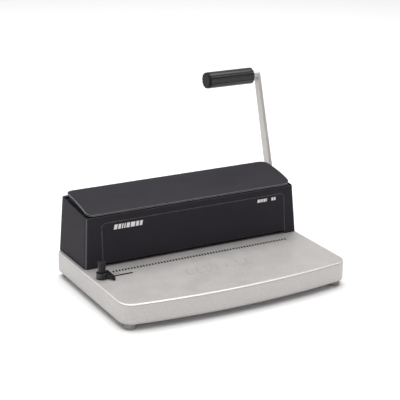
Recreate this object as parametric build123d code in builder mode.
"""Manual comb binding machine: a punch for rectangular comb holes with a comb opener on its table.

Units are millimetres. +X is to the operator's right, +Y to the back, +Z up.
The origin is on the floor, under the middle of the whole machine with its lever at rest.
"""

from math import asin, cos, degrees, radians, sin, sqrt
import os

from build123d import *

# Base
BASE_WIDTH, BASE_DEPTH = 360.0, 245.0
FRONT_CORNER, BACK_CORNER = 20.0, 16.0
BOW_RADIUS = 1100.0
TABLE_Z, BASE_BOTTOM = 38.5, 11.5
WALL = 2.5
EDGE_ROUND = 3.0
PAN_THICK, PAN_INSET = 2.0, 0.3
PAN_SCREWS = [(-150, -95), (0, -105), (150, -95), (-166, 20), (171, 20), (-60, 22), (64, 22)]
BOSS_RADIUS, SCREW_HOLE = 4.0, 1.8
FOOT_RADIUS, FOOT_RECESS, FOOT_RECESS_DEPTH = 8.5, 4.2, 5.0
FOOT_X, FOOT_FRONT_Y, FOOT_BACK_Y = 165.0, -96.5, 108.0

# Binding pattern: the holes are 9/16 inch apart, with three marks of the opener to each
HOLE_COUNT = 21
HOLE_PITCH = 14.2875
MARKS_PER_HOLE = 3
ROW_X, ROW_Y = 2.3, 5.5
MARK_LENGTH, MARK_WIDTH = 4.8, 2.4
HOLE_LENGTH, HOLE_WIDTH = 8.0, 2.9
PUNCH_Y = 42.5

# Black cover
COVER_LEFT, COVER_RIGHT = -174.0, 179.0
COVER_FRONT, COVER_BACK = 27.3, 121.5
COVER_CORNER = 4.5
FRONT_DRAFT, SIDE_DRAFT, BACK_DRAFT = 0.085, 0.065, 0.015
COVER_LOFT_TOP = 135.0
RIM_FRONT_Z, RIM_SLOPE = 111.5, 0.098
REBATE_LIP, REBATE_DEPTH = 1.0, 3.5
RIM_THICK = 6.0
THROAT_GAP = 4.6
PANEL_X, PANEL_WIDTH, PANEL_TOP, PANEL_CORNER = 5.95, 304.7, 63.9, 8.0
PANEL_BOTTOM, PANEL_SEAM = 5.0, 0.5

# Opening under the lid and the tray in it
OPENING_X, OPENING_Y = 2.5, 48.0
OPENING_WIDTH, OPENING_DEPTH, OPENING_CORNER = 325.0, 65.0, 8.0
STORE_BOTTOM, STORE_Y = 92.0, 75.3
TRAY_WALL = 2.0

# Lid
LID_LEFT, LID_RIGHT = -166.0, 171.5
LID_FRONT, LID_BACK = 35.5, 114.0
LID_FRONT_CORNER, LID_BACK_CORNER = 10.0, 12.0
LID_CROWN = [(35.5, 115.3), (48, 119.6), (66, 123.8), (85, 126.7), (106, 128.5), (114, 128.5)]
LID_THICK, LID_LIP, LID_WALL = 2.0, 2.0, 2.2
LID_WALL_DROP = 2.3
SKIRT_WALL, SKIRT_DROP, SKIRT_GAP = 1.5, 5.5, 1.5
HINGE_Y, HINGE_Z = 117.6, 122.2
HINGE_RADIUS, HINGE_PIN_RADIUS, KNUCKLE = 3.2, 1.5, 7.7
HINGE_XS = (-110.0, 115.0)

# Drive
LEVER_TRAVEL = 85.0
LEVER_LEAN = 17.0
LEVER_LENGTH = 207.7
SHAFT_Y, SHAFT_Z, SHAFT_RADIUS = 101.6, 56.0, 5.0
BUSH_RADIUS = 7.5
CAM_THROW, CAM_RADIUS, CAM_THICK = 4.2, 10.2, 12.0
ROCKER_Y, ROCKER_ROD_RADIUS, ROCKER_THICK = 86.0, 4.0, 8.0
NOSE_Y, NOSE_RISE, NOSE_RADIUS = 46.0, 18.0, 4.0
CAM_XS = (ROW_X - 90.0, ROW_X + 90.0)
GAP = 0.3
FIT = 0.06

# Frames and punch set
FRAME_INNER_LEFT, FRAME_INNER_RIGHT = -160.0, 165.0
FRAME_THICK = 3.0
FRAME_TOP, FRAME_FRONT, FRAME_BACK = 90.0, 36.0, 112.0
TAB_BOTTOM, TAB_HEIGHT, TAB_BACK = 44.0, 34.0, 116.4
COVER_SCREW_ZS = (50.0, 72.0)
DIE_BOTTOM, DIE_BACK, DIE_DEPTH = 30.0, 64.0, 33.0
WINDOW_Y, WINDOW_DEPTH = 47.0, 26.4
STRIPPER_THICK = 6.0
DIE_SCREWS = [(x, 55.5) for x in (-150, -50, 55, 155)]
DIE_SCREW_RADIUS = 2.5
PLATE_FRONT, PLATE_BACK, GAUGE_Y, GAUGE_END = 33.5, 60.0, 46.5, 5.0
BAR_BOTTOM, BAR_LENGTH = 64.5, 323.0
BAR_FRONT, BAR_BACK = 35.0, 50.0
PIN_HOLD = 8.0
POST_RADIUS, POST_OFFSET = 3.0, 153.0
SPRING_POCKET, SPRING_POCKET_DEPTH = 6.2, 9.0
SPRING_WIRE, SPRING_TURNS, SPRING_RADIUS = 1.2, 6, 4.6

# Lever
ARM_X, ARM_THICK = 182.0, 5.0
ARM_FOOT_RADIUS, ARM_TIP_RADIUS = 9.0, 6.5
HUB_X, HUB_RADIUS = 178.8, 10.0
BOLT_RADIUS, BOLT_LENGTH, BOLT_HEAD, BOLT_HEAD_HEIGHT = 2.5, 15.0, 5.5, 4.0
WASHER_RADIUS, WASHER_THICK = 8.0, 1.2
GRIP_LENGTH, GRIP_RADIUS = 80.7, 12.6
GRIP_FLUTES, FLUTE_RADIUS, FLUTE_DEPTH = 14, 1.8, 0.9
CAP_THICK, CAP_PLUG, CAP_PLUG_LENGTH = 4.0, 7.0, 5.0
SPINDLE_RADIUS, SPINDLE_HEAD, SPINDLE_COLLAR, SPINDLE_START = 4.0, 6.0, 6.2, 14.0

# Comb opener
RACK_BOTTOM, RACK_LENGTH, RACK_THICK = 21.0, 292.0, 5.0
HOOK_Y, HOOK_THICK, HOOK_DEPTH = 6.8, 1.8, 1.6
HOOK_TOP, HOOK_NOSE = TABLE_Z + 0.8, 2.2

# Edge guide
GUIDE_X, GUIDE_Y, GUIDE_LIFT = -165.0, -8.5, 0.2
GUIDE_SLOT_X, GUIDE_SLOT_LENGTH, GUIDE_SLOT_WIDTH = -145.5, 56.0, 4.4
FENCE_X, FENCE_HEIGHT, FENCE_FRONT, FENCE_BACK = -151.5, 6.2, -24.0, 1.5
DISC_RADIUS, DISC_HEIGHT = 8.0, 8.8
STUD_RADIUS, STUD_REACH = 2.0, 10.0
KNOB_RADIUS, KNOB_FLUTES, KNOB_HEIGHT = 5.4, 8, 15.5

# Chip tray
CHIP_LEFT, CHIP_RIGHT = -149.5, 154.5
CHIP_FRONT, CHIP_TOP = 33.0, 28.0

# Derived values
MARK_COUNT = (HOLE_COUNT - 1) * MARKS_PER_HOLE + 1
MARK_PITCH = HOLE_PITCH / MARKS_PER_HOLE
HALF_TRAVEL = radians(LEVER_TRAVEL / 2)
STRIPPER_BOTTOM = TABLE_Z + THROAT_GAP
STRIPPER_TOP = STRIPPER_BOTTOM + STRIPPER_THICK
PIN_TIP = STRIPPER_BOTTOM + 0.5
CAM_REST_Y = SHAFT_Y + CAM_THROW * cos(HALF_TRAVEL)
CAM_REST_Z = SHAFT_Z - CAM_THROW * sin(HALF_TRAVEL)
REAR_ARM = CAM_REST_Y - ROCKER_Y
ROCKER_HALF = asin(CAM_THROW * sin(HALF_TRAVEL) / REAR_ARM)
ROCKER_Z = CAM_REST_Z + (CAM_RADIUS + GAP + REAR_ARM * sin(ROCKER_HALF)) / cos(ROCKER_HALF)
NOSE_Z = ROCKER_Z + NOSE_RISE
BAR_TOP = NOSE_Z - NOSE_RADIUS - GAP
FRONT_ARM = ROCKER_Y - NOSE_Y
PUNCH_TRAVEL = FRONT_ARM * sin(2 * ROCKER_HALF) + NOSE_RISE * (1 - cos(2 * ROCKER_HALF))
ROCKER_TRAVEL = degrees(2 * ROCKER_HALF)
POST_XS = (ROW_X - POST_OFFSET, ROW_X + POST_OFFSET)
POST_TOP = BAR_TOP + 4
SPRING_LENGTH = BAR_BOTTOM + SPRING_POCKET_DEPTH - STRIPPER_TOP
SHAFT_LEFT = FRAME_INNER_LEFT - FRAME_THICK - 2
ARM_OUTER_X = ARM_X + ARM_THICK
GRIP_Y = SHAFT_Y + LEVER_LENGTH * sin(radians(LEVER_LEAN))
GRIP_Z = SHAFT_Z + LEVER_LENGTH * cos(radians(LEVER_LEAN))
GRIP_RIGHT = ARM_X - 9.5
GRIP_LEFT = GRIP_RIGHT - GRIP_LENGTH
FOOT_PLACES = [(x, y) for x in (-FOOT_X, FOOT_X) for y in (FOOT_FRONT_Y, FOOT_BACK_Y)]
COVER_SCREWS = [(x, z) for x in (FRAME_INNER_LEFT + 8, FRAME_INNER_RIGHT - 8) for z in COVER_SCREW_ZS]
DIE_LEFT, DIE_RIGHT = FRAME_INNER_LEFT + 3, FRAME_INNER_RIGHT - 3
DIE_X = (DIE_LEFT + DIE_RIGHT) / 2
DIE_WIDTH = DIE_RIGHT - DIE_LEFT
CHIP_X = (CHIP_LEFT + CHIP_RIGHT) / 2
CHIP_WIDTH = CHIP_RIGHT - CHIP_LEFT
CHIP_DEPTH = BASE_DEPTH / 2 - CHIP_FRONT

# Every piece is drawn about the middle of the base and saved about the middle of the machine
RIGHT_END = ARM_OUTER_X + WASHER_THICK + BOLT_HEAD_HEIGHT
BACK_END = GRIP_Y + GRIP_RADIUS
MIDDLE_X = (RIGHT_END - BASE_WIDTH / 2) / 2
MIDDLE_Y = (BACK_END - BASE_DEPTH / 2) / 2

print("rocker travel", round(ROCKER_TRAVEL, 3), "deg, pivot z", round(ROCKER_Z, 3))
print("punch travel", round(PUNCH_TRAVEL, 3), "mm, bar top", round(BAR_TOP, 3))
print("grip axis y, z", round(GRIP_Y, 2), round(GRIP_Z, 2))
print("middle x, y", round(MIDDLE_X, 4), round(MIDDLE_Y, 4))

os.makedirs("parts", exist_ok=True)


def save(piece, name):
    """Labels a finished piece and writes it as its own file."""
    placed = piece.part.moved(Location((-MIDDLE_X, -MIDDLE_Y, 0)))
    placed.label = name
    export_step(placed, f"parts/{name}.step")


def base_plan(inset):
    """Plan of the base: straight sides and back, a front edge bowed outward, round corners."""
    half = BASE_WIDTH / 2 - inset
    back = BASE_DEPTH / 2 - inset
    front = -BASE_DEPTH / 2 + inset
    drop = BOW_RADIUS - sqrt(BOW_RADIUS**2 - half**2)
    with BuildSketch() as plan:
        with BuildLine():
            Polyline((half, front + drop), (half, back), (-half, back), (-half, front + drop))
            ThreePointArc((-half, front + drop), (0, front), (half, front + drop))
        make_face()
        fillet(plan.vertices().group_by(Axis.Y)[-1], BACK_CORNER - inset)
        fillet(plan.vertices().filter_by_position(Axis.Y, front, front + drop + 1), FRONT_CORNER - inset)
    return plan.sketch


def cover_plan(z, inset):
    """Rounded rectangle of the cover at height z, drawn into the active sketch."""
    rise = z - TABLE_Z
    left = COVER_LEFT + SIDE_DRAFT * rise + inset
    right = COVER_RIGHT - SIDE_DRAFT * rise - inset
    front = COVER_FRONT + FRONT_DRAFT * rise + inset
    back = COVER_BACK - BACK_DRAFT * rise - inset
    with Locations(((left + right) / 2, (front + back) / 2)):
        RectangleRounded(right - left, back - front, COVER_CORNER - inset)


def rim_plane(lift=0.0):
    """The sloping plane of the cover's top rim, raised by lift."""
    length = sqrt(1 + RIM_SLOPE**2)
    start = (0, COVER_FRONT, RIM_FRONT_Z - 5 * RIM_SLOPE + lift)
    return Plane(origin=start, x_dir=(1, 0, 0), z_dir=(0, -RIM_SLOPE / length, 1 / length))


def front_plane():
    """The leaning plane of the cover's front face, with its local Y up the face."""
    length = sqrt(1 + FRONT_DRAFT**2)
    return Plane(
        origin=(0, COVER_FRONT, TABLE_Z),
        x_dir=(1, 0, 0),
        z_dir=(0, -1 / length, FRONT_DRAFT / length),
    )


def lever_point(distance, side=0.0):
    """Point (y, z) of the lever at a distance from its pivot, and to one side of its middle line."""
    lean = radians(LEVER_LEAN)
    return (
        SHAFT_Y + distance * sin(lean) + side * cos(lean),
        SHAFT_Z + distance * cos(lean) - side * sin(lean),
    )


def screw(radius, length, head_radius, head_height, slot=1.0):
    """Pan-head screw along +Z with the underside of its head at the origin, head upwards."""
    with BuildPart(mode=Mode.PRIVATE) as body:
        Cylinder(radius, length, align=(Align.CENTER, Align.CENTER, Align.MAX))
        Cylinder(head_radius, head_height, align=(Align.CENTER, Align.CENTER, Align.MIN))
        fillet(body.edges().group_by(Axis.Z)[-1], head_height * 0.4)
        with BuildSketch(Plane.XY.offset(head_height)):
            Rectangle(head_radius * 1.3, slot)
            Rectangle(slot, head_radius * 1.3)
        extrude(amount=-head_height * 0.5, mode=Mode.SUBTRACT)
    return body.part


# ---------------------------------------------------------------- base

outer_plan = base_plan(0.0)
inner_plan = base_plan(WALL)
pan_plan = base_plan(PAN_INSET)

with BuildPart() as base_shell:
    with BuildSketch(Plane.XY.offset(BASE_BOTTOM)):
        add(outer_plan)
    extrude(amount=TABLE_Z - BASE_BOTTOM)
    fillet(base_shell.edges().group_by(Axis.Z)[-1], EDGE_ROUND)
    fillet(base_shell.edges().group_by(Axis.Z)[0], 0.8)
    with BuildSketch(Plane.XY.offset(BASE_BOTTOM)):
        add(inner_plan)
    extrude(amount=TABLE_Z - BASE_BOTTOM - WALL, mode=Mode.SUBTRACT)
    # screw bosses under the table
    with BuildSketch(Plane.XY.offset(BASE_BOTTOM)):
        with Locations(*PAN_SCREWS):
            Circle(BOSS_RADIUS)
    extrude(amount=TABLE_Z - BASE_BOTTOM - WALL)
    with BuildSketch(Plane.XY.offset(BASE_BOTTOM)):
        with Locations(*PAN_SCREWS):
            Circle(1.55)
    extrude(amount=14, mode=Mode.SUBTRACT)
    # slots of the comb opener, slot of the edge guide, window for the die
    with BuildSketch(Plane.XY.offset(TABLE_Z)):
        with Locations((ROW_X, ROW_Y)):
            with GridLocations(MARK_PITCH, 0, MARK_COUNT, 1):
                RectangleRounded(MARK_WIDTH, MARK_LENGTH, 0.4)
        with Locations((GUIDE_SLOT_X, GUIDE_Y)):
            SlotOverall(GUIDE_SLOT_LENGTH, GUIDE_SLOT_WIDTH)
        with Locations((DIE_X, WINDOW_Y)):
            Rectangle(DIE_WIDTH - 5.6, WINDOW_DEPTH)
    extrude(amount=-WALL, mode=Mode.SUBTRACT)
    # opening for the chip tray in the back wall
    with BuildSketch(Plane.XZ.offset(-BASE_DEPTH / 2)):
        with Locations((CHIP_X, BASE_BOTTOM)):
            Rectangle(CHIP_WIDTH + 5, CHIP_TOP + 1.5 - BASE_BOTTOM, align=(Align.CENTER, Align.MIN))
    extrude(amount=2 * WALL, mode=Mode.SUBTRACT)
save(base_shell, "base_shell")

with BuildPart() as bottom_pan:
    with BuildSketch(Plane.XY.offset(BASE_BOTTOM - PAN_THICK)):
        add(pan_plan)
    extrude(amount=PAN_THICK)
    fillet(bottom_pan.edges().group_by(Axis.Z)[0], 0.8)
    with BuildSketch(Plane.XY.offset(BASE_BOTTOM)):
        with Locations(*PAN_SCREWS, *FOOT_PLACES):
            Circle(SCREW_HOLE)
    extrude(amount=-PAN_THICK, mode=Mode.SUBTRACT)
save(bottom_pan, "bottom_pan")

pan_screw = screw(1.5, 12, 3.4, 2.0)
with BuildPart() as pan_screws:
    for x, y in PAN_SCREWS:
        with Locations(Location((x, y, BASE_BOTTOM - PAN_THICK), (180, 0, 0))):
            add(pan_screw)
save(pan_screws, "pan_screws")

with BuildPart() as feet:
    with Locations(*[(x, y, 0) for x, y in FOOT_PLACES]):
        Cylinder(FOOT_RADIUS, BASE_BOTTOM - PAN_THICK, align=(Align.CENTER, Align.CENTER, Align.MIN))
    fillet(feet.edges().group_by(Axis.Z)[0], 1.6)
    with BuildSketch(Plane.XY):
        with Locations(*FOOT_PLACES):
            Circle(FOOT_RECESS)
    extrude(amount=FOOT_RECESS_DEPTH, mode=Mode.SUBTRACT)
    with BuildSketch(Plane.XY):
        with Locations(*FOOT_PLACES):
            Circle(SCREW_HOLE)
    extrude(amount=BASE_BOTTOM, mode=Mode.SUBTRACT)
save(feet, "feet")

foot_screw = screw(1.5, 8, 3.5, 2.2)
with BuildPart() as foot_screws:
    for x, y in FOOT_PLACES:
        with Locations(Location((x, y, FOOT_RECESS_DEPTH), (180, 0, 0))):
            add(foot_screw)
save(foot_screws, "foot_screws")

# ---------------------------------------------------------------- cover

with BuildPart() as cover_cavity:
    for z in (TABLE_Z, COVER_LOFT_TOP):
        with BuildSketch(Plane.XY.offset(z)):
            cover_plan(z, WALL)
    loft(ruled=True)
    split(bisect_by=rim_plane(-RIM_THICK), keep=Keep.BOTTOM)

# rebate round the opening that the lid's outer wall drops into, up to the ledge of the hinge
with BuildPart() as cover_rebate:
    for z in (TABLE_Z, COVER_LOFT_TOP):
        with BuildSketch(Plane.XY.offset(z)):
            cover_plan(z, REBATE_LIP)
    loft(ruled=True)
    split(bisect_by=rim_plane(-REBATE_DEPTH), keep=Keep.TOP)
    split(bisect_by=Plane.XZ.offset(-LID_BACK - 1), keep=Keep.TOP)

with BuildPart() as cover_body:
    for z in (TABLE_Z, COVER_LOFT_TOP):
        with BuildSketch(Plane.XY.offset(z)):
            cover_plan(z, 0)
    loft(ruled=True)
    split(bisect_by=rim_plane(), keep=Keep.BOTTOM)
    fillet(cover_body.faces().filter_by(rim_plane()).edges(), 0.6)
    add(cover_cavity.part, mode=Mode.SUBTRACT)
    add(cover_rebate.part, mode=Mode.SUBTRACT)
    # opening under the lid, inside the rim
    with BuildSketch(rim_plane()):
        with Locations((OPENING_X, OPENING_Y)):
            RectangleRounded(OPENING_WIDTH, OPENING_DEPTH, OPENING_CORNER)
    extrude(amount=-2 * RIM_THICK, mode=Mode.SUBTRACT)
    # opening for the front panel, and the paper throat below it
    with BuildSketch(front_plane()) as panel_hole:
        with Locations((PANEL_X, 0)):
            Rectangle(PANEL_WIDTH, PANEL_TOP, align=(Align.CENTER, Align.MIN))
        fillet(panel_hole.vertices().group_by(Axis.Y)[-1], PANEL_CORNER)
    extrude(amount=-2 * WALL, mode=Mode.SUBTRACT)
    # hole for the drive shaft, and clearance for the middle knuckles of the lid
    with BuildSketch(Plane.YZ.offset(COVER_RIGHT)):
        with Locations((SHAFT_Y, SHAFT_Z)):
            Circle(SHAFT_RADIUS + 1)
    extrude(amount=-10, mode=Mode.SUBTRACT)
    for x in HINGE_XS:
        for side in (-1, 1):
            middle = x + side * (KNUCKLE + 2 * GAP)
            with BuildSketch(Plane.YZ.offset(middle - KNUCKLE / 2)):
                with Locations((HINGE_Y, HINGE_Z)):
                    Circle(HINGE_RADIUS)
                with Locations((HINGE_Y, HINGE_Z)):
                    Rectangle(2 * HINGE_RADIUS, 9, align=(Align.CENTER, Align.MAX))
            extrude(amount=KNUCKLE)
        with BuildSketch(Plane.YZ.offset(x - 2 * KNUCKLE)):
            with Locations((HINGE_Y, HINGE_Z)):
                Circle(HINGE_PIN_RADIUS)
        extrude(amount=4 * KNUCKLE, mode=Mode.SUBTRACT)
        with BuildSketch(Plane.YZ.offset(x - KNUCKLE / 2 - GAP)):
            with Locations((HINGE_Y, HINGE_Z)):
                Circle(HINGE_RADIUS + GAP)
        extrude(amount=KNUCKLE + 2 * GAP, mode=Mode.SUBTRACT)
    # screw holes in the back wall
    with BuildSketch(Plane.XZ.offset(-COVER_BACK)):
        with Locations(*COVER_SCREWS):
            Circle(1.7)
    extrude(amount=8, mode=Mode.SUBTRACT)
save(cover_body, "cover_body")

with BuildPart() as front_panel:
    with BuildSketch(front_plane()) as plate:
        with Locations((PANEL_X, PANEL_BOTTOM)):
            Rectangle(
                PANEL_WIDTH - 2 * PANEL_SEAM,
                PANEL_TOP - PANEL_BOTTOM - PANEL_SEAM,
                align=(Align.CENTER, Align.MIN),
            )
        fillet(plate.vertices().group_by(Axis.Y)[-1], PANEL_CORNER - PANEL_SEAM)
    extrude(amount=-WALL - 0.1)
    fillet(front_panel.faces().sort_by(Axis.Y)[0].edges(), 0.3)
    with BuildSketch(front_plane().offset(-WALL - 0.1)):
        with Locations((PANEL_X, PANEL_BOTTOM)):
            Rectangle(PANEL_WIDTH + 6, PANEL_TOP - PANEL_BOTTOM + 3, align=(Align.CENTER, Align.MIN))
    extrude(amount=-1.2)
save(front_panel, "front_panel")

cover_screw = screw(1.6, 9, 3.2, 1.6)
with BuildPart() as cover_screws:
    for x, z in COVER_SCREWS:
        y = COVER_BACK - BACK_DRAFT * (z - TABLE_Z) + 0.2
        with Locations(Location((x, y, z), (-90, 0, 0))):
            add(cover_screw)
save(cover_screws, "cover_screws")

with BuildPart() as storage_tray:
    with BuildSketch(Plane.XY.offset(STORE_BOTTOM)):
        with Locations((OPENING_X, STORE_Y)):
            RectangleRounded(
                OPENING_WIDTH + 2 * TRAY_WALL, OPENING_DEPTH + 2 * TRAY_WALL, OPENING_CORNER + TRAY_WALL
            )
    extrude(amount=COVER_LOFT_TOP - STORE_BOTTOM)
    split(bisect_by=rim_plane(-RIM_THICK), keep=Keep.BOTTOM)
    with BuildSketch(Plane.XY.offset(STORE_BOTTOM + TRAY_WALL)):
        with Locations((OPENING_X, STORE_Y)):
            RectangleRounded(OPENING_WIDTH, OPENING_DEPTH, OPENING_CORNER)
    extrude(amount=COVER_LOFT_TOP - STORE_BOTTOM, mode=Mode.SUBTRACT)
save(storage_tray, "storage_tray")

# ---------------------------------------------------------------- lid


def lid_section(drop, bottom):
    """Side section of the lid as (y, z): its crown lowered by drop, down to the height bottom."""
    crown = [(y, z - drop) for y, z in LID_CROWN]
    with BuildSketch() as section:
        with BuildLine():
            Spline(*crown)
            Polyline(crown[-1], (LID_BACK, bottom), (LID_FRONT, bottom), crown[0])
        make_face()
    return section.sketch


def lid_plan(inset):
    """Plan of the lid, drawn inset from its edge."""
    width = LID_RIGHT - LID_LEFT - 2 * inset
    depth = LID_BACK - LID_FRONT - 2 * inset
    with BuildSketch() as plan:
        with Locations(((LID_LEFT + LID_RIGHT) / 2, (LID_FRONT + LID_BACK) / 2)):
            Rectangle(width, depth)
        fillet(plan.vertices().group_by(Axis.Y)[0], LID_FRONT_CORNER - inset)
        fillet(plan.vertices().group_by(Axis.Y)[-1], LID_BACK_CORNER - inset)
    return plan.sketch


LID_LOW = RIM_FRONT_Z - 5
with BuildPart() as lid_plate:
    with BuildSketch(Plane.YZ.offset(LID_LEFT)):
        add(lid_section(0, LID_LOW))
    extrude(amount=LID_RIGHT - LID_LEFT)
    with BuildSketch(Plane.XY.offset(LID_LOW)):
        add(lid_plan(0))
    extrude(amount=COVER_LOFT_TOP - LID_LOW, mode=Mode.INTERSECT)
    with BuildSketch(Plane.YZ.offset(LID_LEFT - 1)):
        add(lid_section(LID_THICK, LID_LOW))
    extrude(amount=LID_RIGHT - LID_LEFT + 2, mode=Mode.SUBTRACT)

# the skirt under the plate stands in from its edge all round, which leaves a lip
with BuildPart() as lid_wall:
    with BuildSketch(Plane.YZ.offset(LID_LEFT)):
        add(lid_section(LID_THICK / 2, LID_LOW))
    extrude(amount=LID_RIGHT - LID_LEFT)
    with BuildSketch(Plane.XY.offset(LID_LOW)):
        add(lid_plan(LID_LIP))
    extrude(amount=COVER_LOFT_TOP - LID_LOW, mode=Mode.INTERSECT)
    with BuildSketch(Plane.XY.offset(LID_LOW)):
        add(lid_plan(LID_LIP + LID_WALL))
    extrude(amount=COVER_LOFT_TOP - LID_LOW, mode=Mode.SUBTRACT)
    split(bisect_by=rim_plane(-LID_WALL_DROP), keep=Keep.TOP)

# the ring that drops into the opening and keeps the lid in place
with BuildPart() as lid_skirt:
    with BuildSketch(rim_plane(-SKIRT_DROP)):
        with Locations((OPENING_X, OPENING_Y)):
            RectangleRounded(
                OPENING_WIDTH - 2 * SKIRT_GAP, OPENING_DEPTH - 2 * SKIRT_GAP, OPENING_CORNER - SKIRT_GAP
            )
            RectangleRounded(
                OPENING_WIDTH - 2 * SKIRT_GAP - 2 * SKIRT_WALL,
                OPENING_DEPTH - 2 * SKIRT_GAP - 2 * SKIRT_WALL,
                OPENING_CORNER - SKIRT_GAP - SKIRT_WALL,
                mode=Mode.SUBTRACT,
            )
    extrude(amount=COVER_LOFT_TOP - LID_LOW)
    with BuildSketch(Plane.YZ.offset(LID_LEFT)):
        add(lid_section(LID_THICK / 2, LID_LOW))
    extrude(amount=LID_RIGHT - LID_LEFT, mode=Mode.INTERSECT)

with BuildPart() as lid:
    add(lid_plate.part)
    add(lid_wall.part)
    add(lid_skirt.part)
    for x in HINGE_XS:
        with BuildSketch(Plane.YZ.offset(x - KNUCKLE / 2)):
            with Locations((HINGE_Y, HINGE_Z)):
                Circle(HINGE_RADIUS)
            with Locations((HINGE_Y, HINGE_Z)):
                Rectangle(HINGE_Y - LID_BACK + LID_LIP + 1.5, 2.6, align=(Align.MAX, Align.MIN))
        extrude(amount=KNUCKLE)
        with BuildSketch(Plane.YZ.offset(x - KNUCKLE)):
            with Locations((HINGE_Y, HINGE_Z)):
                Circle(HINGE_PIN_RADIUS + FIT)
        extrude(amount=2 * KNUCKLE, mode=Mode.SUBTRACT)
save(lid, "lid")

with BuildPart() as hinge_pins:
    for x in HINGE_XS:
        with BuildSketch(Plane.YZ.offset(x - 1.5 * KNUCKLE - 2 * GAP)):
            with Locations((HINGE_Y, HINGE_Z)):
                Circle(HINGE_PIN_RADIUS)
        extrude(amount=3 * KNUCKLE + 4 * GAP)
save(hinge_pins, "hinge_pins")

# ---------------------------------------------------------------- frames and punch set


def side_frame(inner_x, outward):
    """Upright plate with bearing holes, a foot flange and a tab for the cover's screws."""
    thick_sign = FRAME_THICK * outward
    with BuildPart() as frame:
        with BuildSketch(Plane.YZ.offset(inner_x)):
            with Locations((FRAME_BACK, TABLE_Z)):
                Rectangle(FRAME_BACK - FRAME_FRONT, FRAME_TOP - TABLE_Z, align=(Align.MAX, Align.MIN))
            with Locations((FRAME_BACK, TAB_BOTTOM)):
                Rectangle(TAB_BACK - FRAME_BACK, TAB_HEIGHT, align=(Align.MIN, Align.MIN))
        extrude(amount=thick_sign)
        corners = frame.edges().filter_by(Axis.X).group_by(Axis.Z)[-1]
        fillet(corners, 8)
        with BuildSketch(Plane.XY.offset(TABLE_Z)):
            with Locations((inner_x + thick_sign, 85)):
                edge = Align.MIN if outward > 0 else Align.MAX
                Rectangle(6, 40, align=(edge, Align.CENTER))
        extrude(amount=2.5)
        with BuildSketch(Plane.XZ.offset(-TAB_BACK)):
            with Locations((inner_x, TAB_BOTTOM)):
                edge = Align.MAX if outward > 0 else Align.MIN
                Rectangle(15, TAB_HEIGHT, align=(edge, Align.MIN))
        extrude(amount=2.6)
        with BuildSketch(Plane.YZ.offset(inner_x)):
            with Locations((SHAFT_Y, SHAFT_Z)):
                Circle(BUSH_RADIUS)
            with Locations((ROCKER_Y, ROCKER_Z)):
                Circle(ROCKER_ROD_RADIUS)
        extrude(amount=thick_sign, mode=Mode.SUBTRACT)
        with BuildSketch(Plane.XZ.offset(-118)):
            with Locations(*[(inner_x - 8 * outward, z) for z in COVER_SCREW_ZS]):
                Circle(1.6)
        extrude(amount=5, mode=Mode.SUBTRACT)
    return frame


frame_left = side_frame(FRAME_INNER_LEFT, -1)
save(frame_left, "side_frame_left")
frame_right = side_frame(FRAME_INNER_RIGHT, 1)
save(frame_right, "side_frame_right")

with BuildPart() as die_plate:
    with BuildSketch(Plane.XY.offset(DIE_BOTTOM)):
        with Locations((DIE_X, DIE_BACK)):
            Rectangle(DIE_WIDTH, DIE_DEPTH, align=(Align.CENTER, Align.MAX))
    extrude(amount=TABLE_Z - WALL - DIE_BOTTOM)
    with BuildSketch(Plane.XY.offset(TABLE_Z - WALL)):
        with Locations((DIE_X, WINDOW_Y)):
            Rectangle(DIE_WIDTH - 6, WINDOW_DEPTH - 0.4)
    extrude(amount=WALL)
    with BuildSketch(Plane.XY.offset(TABLE_Z)):
        with Locations((ROW_X, PUNCH_Y)):
            with GridLocations(HOLE_PITCH, 0, HOLE_COUNT, 1):
                Rectangle(HOLE_LENGTH + 0.2, HOLE_WIDTH + 0.2)
        with Locations(*DIE_SCREWS):
            Circle(DIE_SCREW_RADIUS)
    extrude(amount=DIE_BOTTOM - TABLE_Z, mode=Mode.SUBTRACT)
save(die_plate, "die_plate")

with BuildPart() as back_gauge:
    with BuildSketch(Plane.XY.offset(TABLE_Z)):
        with Locations((DIE_X, GAUGE_Y)):
            Rectangle(DIE_WIDTH, PLATE_BACK - GAUGE_Y, align=(Align.CENTER, Align.MIN))
        with Locations((DIE_LEFT, PLATE_FRONT)):
            Rectangle(GAUGE_END, GAUGE_Y - PLATE_FRONT, align=(Align.MIN, Align.MIN))
        with Locations((DIE_RIGHT, PLATE_FRONT)):
            Rectangle(GAUGE_END, GAUGE_Y - PLATE_FRONT, align=(Align.MAX, Align.MIN))
        with Locations(*DIE_SCREWS):
            Circle(DIE_SCREW_RADIUS + FIT, mode=Mode.SUBTRACT)
    extrude(amount=THROAT_GAP)
save(back_gauge, "back_gauge")

with BuildPart() as stripper_plate:
    with BuildSketch(Plane.XY.offset(STRIPPER_BOTTOM)):
        with Locations((DIE_X, PLATE_FRONT)):
            Rectangle(DIE_WIDTH, PLATE_BACK - PLATE_FRONT, align=(Align.CENTER, Align.MIN))
        with Locations((ROW_X, PUNCH_Y)):
            with GridLocations(HOLE_PITCH, 0, HOLE_COUNT, 1):
                Rectangle(HOLE_LENGTH + 0.4, HOLE_WIDTH + 0.4, mode=Mode.SUBTRACT)
        with Locations(*DIE_SCREWS):
            Circle(DIE_SCREW_RADIUS + FIT, mode=Mode.SUBTRACT)
        with Locations(*[(x, PUNCH_Y) for x in POST_XS]):
            Circle(POST_RADIUS, mode=Mode.SUBTRACT)
    extrude(amount=STRIPPER_THICK)
    fillet(stripper_plate.faces().sort_by(Axis.Y)[0].edges().group_by(Axis.Z)[0], 1.5)
save(stripper_plate, "stripper_plate")

die_screw = screw(DIE_SCREW_RADIUS, STRIPPER_TOP - DIE_BOTTOM - 1, 4.2, 4.0)
with BuildPart() as die_screws:
    for x, y in DIE_SCREWS:
        with Locations((x, y, STRIPPER_TOP)):
            add(die_screw)
save(die_screws, "die_screws")

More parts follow.
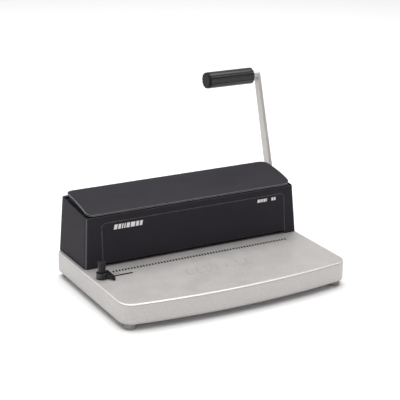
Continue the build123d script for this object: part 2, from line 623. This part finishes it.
with BuildPart() as guide_posts:
    with BuildSketch(Plane.XY.offset(STRIPPER_BOTTOM)):
        with Locations(*[(x, PUNCH_Y) for x in POST_XS]):
            Circle(POST_RADIUS)
    extrude(amount=POST_TOP - STRIPPER_BOTTOM)
    chamfer(guide_posts.edges().group_by(Axis.Z)[-1], 0.8)
save(guide_posts, "guide_posts")

with BuildPart() as punch_bar:
    with BuildSketch(Plane.XY.offset(BAR_BOTTOM)):
        with Locations((ROW_X, BAR_FRONT)):
            Rectangle(BAR_LENGTH, BAR_BACK - BAR_FRONT, align=(Align.CENTER, Align.MIN))
    extrude(amount=BAR_TOP - BAR_BOTTOM)
    chamfer(punch_bar.edges().filter_by(Axis.X), 0.8)
    with BuildSketch(Plane.XY.offset(BAR_BOTTOM)):
        with Locations((ROW_X, PUNCH_Y)):
            with GridLocations(HOLE_PITCH, 0, HOLE_COUNT, 1):
                Rectangle(HOLE_LENGTH, HOLE_WIDTH)
    extrude(amount=PIN_HOLD, mode=Mode.SUBTRACT)
    with BuildSketch(Plane.XY.offset(BAR_BOTTOM)):
        with Locations(*[(x, PUNCH_Y) for x in POST_XS]):
            Circle(SPRING_POCKET)
    extrude(amount=SPRING_POCKET_DEPTH, mode=Mode.SUBTRACT)
    with BuildSketch(Plane.XY.offset(BAR_BOTTOM)):
        with Locations(*[(x, PUNCH_Y) for x in POST_XS]):
            Circle(POST_RADIUS + FIT)
    extrude(amount=BAR_TOP - BAR_BOTTOM, mode=Mode.SUBTRACT)
save(punch_bar, "punch_bar")

with BuildPart() as punch_pins:
    with BuildSketch(Plane.XY.offset(PIN_TIP)):
        with Locations((ROW_X, PUNCH_Y)):
            with GridLocations(HOLE_PITCH, 0, HOLE_COUNT, 1):
                Rectangle(HOLE_LENGTH, HOLE_WIDTH)
    extrude(amount=BAR_BOTTOM + PIN_HOLD - PIN_TIP)
save(punch_pins, "punch_pins")

for side, x in zip(("left", "right"), POST_XS):
    start = (x, PUNCH_Y, STRIPPER_TOP + SPRING_WIRE / 2)
    coil_height = SPRING_LENGTH - SPRING_WIRE
    with BuildPart() as spring:
        with BuildLine(Plane(origin=start)) as coil:
            Helix(pitch=coil_height / SPRING_TURNS, height=coil_height, radius=SPRING_RADIUS)
        with BuildSketch(Plane(origin=coil.line @ 0, z_dir=coil.line % 0)):
            Circle(SPRING_WIRE / 2)
        sweep()
    save(spring, f"return_spring_{side}")

# ---------------------------------------------------------------- drive

with BuildPart() as shaft_bushes:
    for inner_x, outward in ((FRAME_INNER_LEFT, -1), (FRAME_INNER_RIGHT, 1)):
        with BuildSketch(Plane.YZ.offset(inner_x)):
            with Locations((SHAFT_Y, SHAFT_Z)):
                Circle(BUSH_RADIUS)
        extrude(amount=outward * FRAME_THICK)
        with BuildSketch(Plane.YZ.offset(inner_x)):
            with Locations((SHAFT_Y, SHAFT_Z)):
                Circle(BUSH_RADIUS + 2)
        extrude(amount=-outward * 1.5)
    with BuildSketch(Plane.YZ.offset(FRAME_INNER_LEFT - 10)):
        with Locations((SHAFT_Y, SHAFT_Z)):
            Circle(SHAFT_RADIUS + FIT)
    extrude(amount=FRAME_INNER_RIGHT - FRAME_INNER_LEFT + 20, mode=Mode.SUBTRACT)
save(shaft_bushes, "shaft_bushes")

with BuildPart() as drive_shaft:
    with BuildSketch(Plane.YZ.offset(SHAFT_LEFT)):
        with Locations((SHAFT_Y, SHAFT_Z)):
            Circle(SHAFT_RADIUS)
    extrude(amount=ARM_OUTER_X - SHAFT_LEFT)
    with BuildSketch(Plane.YZ.offset(ARM_OUTER_X)):
        with Locations((SHAFT_Y, SHAFT_Z)):
            Circle(BOLT_RADIUS)
    extrude(amount=-BOLT_LENGTH - 1, mode=Mode.SUBTRACT)
save(drive_shaft, "drive_shaft")

for side, x in zip(("left", "right"), CAM_XS):
    with BuildPart() as cam:
        with BuildSketch(Plane.YZ.offset(x - CAM_THICK / 2)):
            with Locations((CAM_REST_Y, CAM_REST_Z)):
                Circle(CAM_RADIUS)
            with Locations((SHAFT_Y, SHAFT_Z)):
                Circle(SHAFT_RADIUS, mode=Mode.SUBTRACT)
        extrude(amount=CAM_THICK)
    save(cam, f"cam_{side}")

with BuildPart() as rocker_rod:
    with BuildSketch(Plane.YZ.offset(FRAME_INNER_LEFT - FRAME_THICK)):
        with Locations((ROCKER_Y, ROCKER_Z)):
            Circle(ROCKER_ROD_RADIUS)
    extrude(amount=FRAME_INNER_RIGHT - FRAME_INNER_LEFT + 2 * FRAME_THICK)
save(rocker_rod, "rocker_rod")

REAR_DIR = (cos(ROCKER_HALF), -sin(ROCKER_HALF))
REAR_UP = (sin(ROCKER_HALF), cos(ROCKER_HALF))


def rear_point(along, above):
    """Point (y, z) of a rocker's rear arm, along its cam face and above it."""
    return (
        ROCKER_Y + along * REAR_DIR[0] + above * REAR_UP[0],
        ROCKER_Z + along * REAR_DIR[1] + above * REAR_UP[1],
    )


for side, x in zip(("left", "right"), CAM_XS):
    with BuildPart() as rocker:
        with BuildSketch(Plane.YZ.offset(x - ROCKER_THICK / 2)):
            with BuildLine():
                Polyline(
                    (NOSE_Y, NOSE_Z - NOSE_RADIUS),
                    (NOSE_Y + 11, NOSE_Z - NOSE_RADIUS),
                    (ROCKER_Y - 7, ROCKER_Z - 4),
                    (ROCKER_Y + 7, ROCKER_Z + 5),
                    (NOSE_Y + 20, NOSE_Z + NOSE_RADIUS),
                    (NOSE_Y, NOSE_Z + NOSE_RADIUS),
                    close=True,
                )
            make_face()
            with BuildLine():
                Polyline(
                    (ROCKER_Y, ROCKER_Z), rear_point(29, 0), rear_point(29, 6), rear_point(0, 8), close=True
                )
            make_face()
            with Locations((NOSE_Y, NOSE_Z)):
                Circle(NOSE_RADIUS)
            with Locations((ROCKER_Y, ROCKER_Z)):
                Circle(9)
                Circle(ROCKER_ROD_RADIUS + FIT, mode=Mode.SUBTRACT)
        extrude(amount=ROCKER_THICK)
    save(rocker, f"rocker_{side}")

# ---------------------------------------------------------------- lever

with BuildPart() as lever_hub:
    with BuildSketch(Plane.YZ.offset(HUB_X)):
        with Locations((SHAFT_Y, SHAFT_Z)):
            Circle(HUB_RADIUS)
            Circle(SHAFT_RADIUS, mode=Mode.SUBTRACT)
    extrude(amount=ARM_X - HUB_X)
save(lever_hub, "lever_hub")

with BuildPart() as lever_arm:
    with BuildSketch(Plane.YZ.offset(ARM_X)):
        with BuildLine():
            Polyline(
                lever_point(0, -ARM_FOOT_RADIUS),
                lever_point(LEVER_LENGTH, -ARM_TIP_RADIUS),
                lever_point(LEVER_LENGTH, ARM_TIP_RADIUS),
                lever_point(0, ARM_FOOT_RADIUS),
                close=True,
            )
        make_face()
        with Locations(lever_point(0)):
            Circle(ARM_FOOT_RADIUS)
        with Locations(lever_point(LEVER_LENGTH)):
            Circle(ARM_TIP_RADIUS)
    extrude(amount=ARM_THICK)
    fillet(lever_arm.faces().filter_by(Axis.X).edges(), 0.8)
    with BuildSketch(Plane.YZ.offset(ARM_X)):
        with Locations(lever_point(0)):
            Circle(SHAFT_RADIUS)
        with Locations(lever_point(LEVER_LENGTH)):
            Circle(SPINDLE_RADIUS)
    extrude(amount=ARM_THICK, mode=Mode.SUBTRACT)
save(lever_arm, "lever_arm")

with BuildPart() as lever_bolt:
    with BuildSketch(Plane.YZ.offset(ARM_OUTER_X)):
        with Locations((SHAFT_Y, SHAFT_Z)):
            Circle(WASHER_RADIUS)
    extrude(amount=WASHER_THICK)
    with BuildSketch(Plane.YZ.offset(ARM_OUTER_X + WASHER_THICK)):
        with Locations((SHAFT_Y, SHAFT_Z)):
            RegularPolygon(BOLT_HEAD, 6)
    extrude(amount=BOLT_HEAD_HEIGHT)
    with BuildSketch(Plane.YZ.offset(ARM_OUTER_X)):
        with Locations((SHAFT_Y, SHAFT_Z)):
            Circle(BOLT_RADIUS)
    extrude(amount=-BOLT_LENGTH)
save(lever_bolt, "lever_bolt")

with BuildPart() as grip_spindle:
    with BuildSketch(Plane.YZ.offset(GRIP_LEFT + SPINDLE_START)):
        with Locations((GRIP_Y, GRIP_Z)):
            Circle(SPINDLE_RADIUS)
    extrude(amount=ARM_OUTER_X - GRIP_LEFT - SPINDLE_START)
    with BuildSketch(Plane.YZ.offset(GRIP_RIGHT + 0.5)):
        with Locations((GRIP_Y, GRIP_Z)):
            Circle(SPINDLE_COLLAR)
    extrude(amount=ARM_X - GRIP_RIGHT - 0.5)
    chamfer(grip_spindle.edges().filter_by(GeomType.CIRCLE).sort_by(Axis.X)[-1], 0.6)
    with BuildSketch(Plane.YZ.offset(GRIP_LEFT + SPINDLE_START)):
        with Locations((GRIP_Y, GRIP_Z)):
            Circle(SPINDLE_HEAD)
    extrude(amount=-2)
save(grip_spindle, "grip_spindle")


def fluted_circle(radius, flutes, flute_radius, depth):
    """Circle with round flutes cut into its edge, with a crest on the local X axis."""
    Circle(radius)
    with PolarLocations(radius + flute_radius - depth, flutes, start_angle=180 / flutes):
        Circle(flute_radius, mode=Mode.SUBTRACT)


GRIP_AXIS = Plane(origin=(GRIP_LEFT, GRIP_Y, GRIP_Z), x_dir=(0, 1, 0), z_dir=(1, 0, 0))
with BuildPart() as grip:
    with BuildSketch(GRIP_AXIS.offset(CAP_THICK)):
        fluted_circle(GRIP_RADIUS, GRIP_FLUTES, FLUTE_RADIUS, FLUTE_DEPTH)
    extrude(amount=GRIP_LENGTH - CAP_THICK)
    with BuildSketch(GRIP_AXIS.offset(CAP_THICK)):
        Circle(SPINDLE_RADIUS + FIT)
    extrude(amount=GRIP_LENGTH, mode=Mode.SUBTRACT)
    with BuildSketch(GRIP_AXIS.offset(CAP_THICK)):
        Circle(CAP_PLUG)
    extrude(amount=SPINDLE_START - CAP_THICK + GAP, mode=Mode.SUBTRACT)
save(grip, "grip")

with BuildPart() as grip_cap:
    with BuildSketch(GRIP_AXIS):
        fluted_circle(GRIP_RADIUS - 0.3, GRIP_FLUTES, FLUTE_RADIUS, FLUTE_DEPTH)
    extrude(amount=CAP_THICK)
    chamfer(grip_cap.faces().sort_by(Axis.X)[0].edges(), 0.7)
    with BuildSketch(GRIP_AXIS.offset(CAP_THICK)):
        Circle(CAP_PLUG)
        Circle(CAP_PLUG - 1.5, mode=Mode.SUBTRACT)
    extrude(amount=CAP_PLUG_LENGTH)
save(grip_cap, "grip_cap")

# ---------------------------------------------------------------- comb opener

with BuildPart() as hook_rack:
    with BuildSketch(Plane.XY.offset(RACK_BOTTOM)):
        with Locations((ROW_X, HOOK_Y)):
            Rectangle(RACK_LENGTH, 10)
    extrude(amount=RACK_THICK)
    with BuildSketch(Plane.XY.offset(RACK_BOTTOM + RACK_THICK)):
        with Locations((ROW_X, HOOK_Y)):
            with GridLocations(HOLE_PITCH, 0, HOLE_COUNT, 1):
                Rectangle(HOOK_THICK, HOOK_DEPTH)
    extrude(amount=HOOK_TOP - RACK_BOTTOM - RACK_THICK)
    # each hook's nose points to the front, just above the table
    with BuildSketch(Plane.XY.offset(TABLE_Z + GAP)):
        with Locations((ROW_X, HOOK_Y + HOOK_DEPTH / 2 - HOOK_NOSE / 2)):
            with GridLocations(HOLE_PITCH, 0, HOLE_COUNT, 1):
                Rectangle(HOOK_THICK, HOOK_NOSE)
    extrude(amount=HOOK_TOP - TABLE_Z - GAP)
save(hook_rack, "hook_rack")

# two fixed fingers stand between each pair of hooks
FINGER_XS = [
    ROW_X + (index - (MARK_COUNT - 1) / 2) * MARK_PITCH
    for index in range(MARK_COUNT)
    if index % MARKS_PER_HOLE
]
COMB_BOTTOM = TABLE_Z - WALL - 4
with BuildPart() as retainer_comb:
    with BuildSketch(Plane.XY.offset(COMB_BOTTOM)):
        with Locations((ROW_X, ROW_Y + 7.5)):
            Rectangle(RACK_LENGTH, 6)
    extrude(amount=4)
    with BuildSketch(Plane.XY.offset(COMB_BOTTOM + 1)):
        with Locations(*[(x, ROW_Y + 2) for x in FINGER_XS]):
            Rectangle(HOOK_THICK, 7)
    extrude(amount=2.7)
    with BuildSketch(Plane.XY.offset(COMB_BOTTOM + 1)):
        with Locations(*[(x, HOOK_Y) for x in FINGER_XS]):
            Rectangle(HOOK_THICK, HOOK_DEPTH)
    extrude(amount=HOOK_TOP - COMB_BOTTOM - 1)
save(retainer_comb, "retainer_comb")

with BuildPart() as rack_rails:
    with BuildSketch(Plane.XY.offset(BASE_BOTTOM)):
        with Locations((ROW_X, ROW_Y + 0.5)):
            with GridLocations(RACK_LENGTH / 2 - 15, 0, 3, 1):
                Rectangle(12, 22)
    extrude(amount=RACK_BOTTOM - GAP - BASE_BOTTOM)
save(rack_rails, "rack_rails")

# ---------------------------------------------------------------- edge guide

GUIDE_BOTTOM = TABLE_Z + GUIDE_LIFT
DISC_TOP = GUIDE_BOTTOM + DISC_HEIGHT
with BuildPart() as edge_guide:
    with BuildSketch(Plane.XY.offset(GUIDE_BOTTOM)):
        with BuildLine():
            Polyline(
                (GUIDE_X, GUIDE_Y + DISC_RADIUS),
                (FENCE_X - 5, FENCE_BACK),
                (FENCE_X, FENCE_BACK),
                (FENCE_X, FENCE_FRONT),
                (FENCE_X - 2.5, FENCE_FRONT),
            )
            ThreePointArc(
                (FENCE_X - 2.5, FENCE_FRONT),
                (FENCE_X - 5.5, GUIDE_Y - 9.2),
                (GUIDE_X + 4, GUIDE_Y - 6.9),
            )
            Line((GUIDE_X + 4, GUIDE_Y - 6.9), (GUIDE_X, GUIDE_Y + DISC_RADIUS))
        make_face()
    extrude(amount=FENCE_HEIGHT)
    with BuildSketch(Plane.XY.offset(GUIDE_BOTTOM)):
        with Locations((GUIDE_X, GUIDE_Y)):
            Circle(DISC_RADIUS)
    extrude(amount=DISC_HEIGHT)
    fillet(edge_guide.edges().filter_by(GeomType.CIRCLE).group_by(Axis.Z)[-1], 0.8)
    # key that runs in the table's slot
    with BuildSketch(Plane.XY.offset(TABLE_Z - WALL)):
        with Locations((GUIDE_X + 3, GUIDE_Y)):
            Rectangle(14, GUIDE_SLOT_WIDTH - 2 * GAP)
    extrude(amount=WALL + GUIDE_LIFT)
    with BuildSketch(Plane.XY.offset(0)):
        with Locations((GUIDE_X, GUIDE_Y)):
            Circle(STUD_RADIUS + FIT)
    extrude(amount=2 * TABLE_Z, mode=Mode.SUBTRACT)
save(edge_guide, "edge_guide")

with BuildPart() as guide_stud:
    with BuildSketch(Plane.XY.offset(TABLE_Z - WALL - GAP)):
        with Locations((GUIDE_X + 2, GUIDE_Y)):
            Rectangle(16, 9)
    extrude(amount=-2)
    with BuildSketch(Plane.XY.offset(TABLE_Z - WALL - GAP)):
        with Locations((GUIDE_X, GUIDE_Y)):
            Circle(STUD_RADIUS)
    extrude(amount=DISC_TOP + STUD_REACH - TABLE_Z + WALL + GAP)
save(guide_stud, "guide_stud")

KNOB_BASE = Plane(origin=(GUIDE_X, GUIDE_Y, DISC_TOP + GAP))
with BuildPart() as guide_knob:
    with BuildSketch(KNOB_BASE):
        fluted_circle(KNOB_RADIUS, KNOB_FLUTES, 1.5, 0.8)
    extrude(amount=KNOB_HEIGHT)
    chamfer(guide_knob.faces().sort_by(Axis.Z)[-1].edges(), 0.5)
    with BuildSketch(KNOB_BASE):
        Circle(STUD_RADIUS + FIT)
    extrude(amount=STUD_REACH + 1, mode=Mode.SUBTRACT)
save(guide_knob, "guide_knob")

# ---------------------------------------------------------------- chip tray

with BuildPart() as chip_tray:
    with BuildSketch(Plane.XY.offset(BASE_BOTTOM + GAP)):
        with Locations((CHIP_X, CHIP_FRONT)):
            Rectangle(CHIP_WIDTH, CHIP_DEPTH, align=(Align.CENTER, Align.MIN))
    extrude(amount=CHIP_TOP - BASE_BOTTOM - GAP)
    with BuildSketch(Plane.XY.offset(CHIP_TOP)):
        with Locations((CHIP_X, CHIP_FRONT + TRAY_WALL)):
            Rectangle(
                CHIP_WIDTH - 2 * TRAY_WALL, CHIP_DEPTH - 2.5 * TRAY_WALL, align=(Align.CENTER, Align.MIN)
            )
    extrude(amount=BASE_BOTTOM + GAP + TRAY_WALL - CHIP_TOP, mode=Mode.SUBTRACT)
    # finger recess in the back face
    with BuildSketch(Plane.XZ.offset(-BASE_DEPTH / 2)):
        with Locations((CHIP_X, CHIP_TOP)):
            SlotOverall(40, 12)
    extrude(amount=1.6, mode=Mode.SUBTRACT)
save(chip_tray, "chip_tray")
